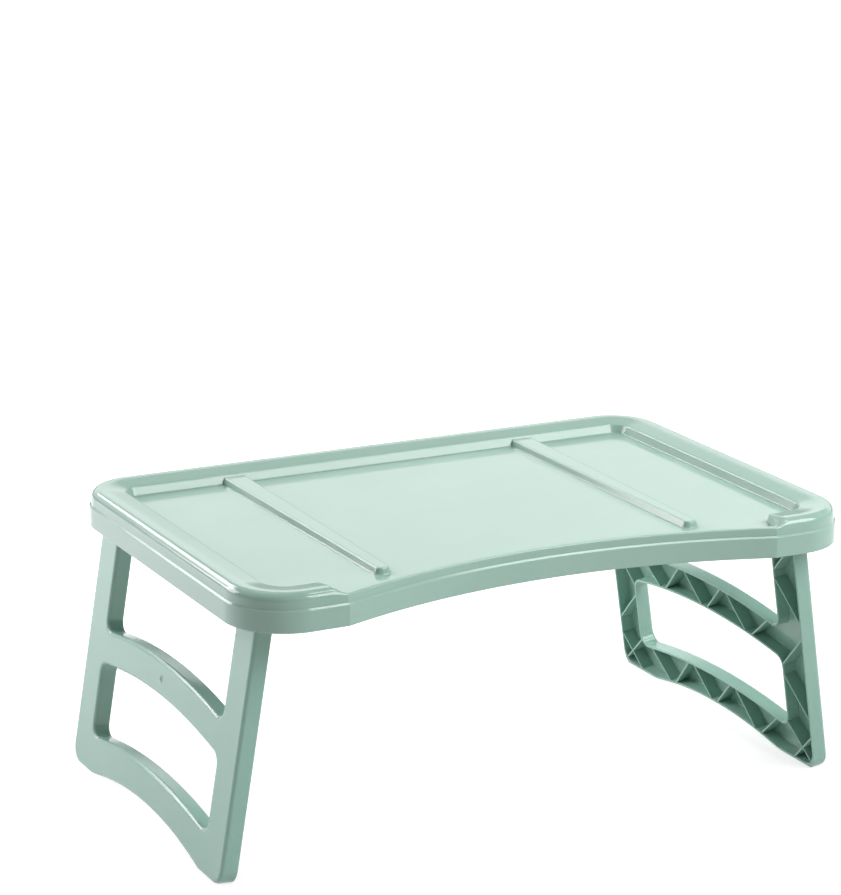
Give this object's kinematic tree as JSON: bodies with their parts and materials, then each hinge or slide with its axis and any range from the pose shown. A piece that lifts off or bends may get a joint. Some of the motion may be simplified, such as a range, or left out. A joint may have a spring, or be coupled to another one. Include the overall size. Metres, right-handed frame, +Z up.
{
  "type": "folding tray table",
  "caption": "Moulded tray table with a concave front edge, raised rim, dividers and open leg frames that fold flat under the deck.",
  "frame": {"origin": "on the floor under the middle of the tray's plan", "axes": "+Z up, +X along the long side to the user's right as they face the concave front edge from outside, -Y towards the concave front edge"},
  "size_m": [0.5392, 0.342, 0.2295],
  "materials": {
    "tray": "satin moulded polypropylene, mint green",
    "legs": "satin moulded polypropylene, mint green",
    "hinge_pins": "plain bright steel"
  },
  "bodies": {
    "tray": {"tray_top": "tray", "left_front_pin": "hinge_pins", "left_rear_pin": "hinge_pins", "right_front_pin": "hinge_pins", "right_rear_pin": "hinge_pins"},
    "left_leg": {"left_leg": "legs"},
    "right_leg": {"right_leg": "legs"}
  },
  "joints": [
    {"name": "left_leg_fold", "type": "hinge", "parent": "tray", "child": "left_leg", "pos_m": [-0.2296, 0.015, 0.209], "axis": [0, -1, 0], "range_deg": [0, 99]},
    {"name": "right_leg_fold", "type": "hinge", "parent": "tray", "child": "right_leg", "pos_m": [0.2296, 0.015, 0.209], "axis": [0, 1, 0], "range_deg": [0, 99]}
  ]
}
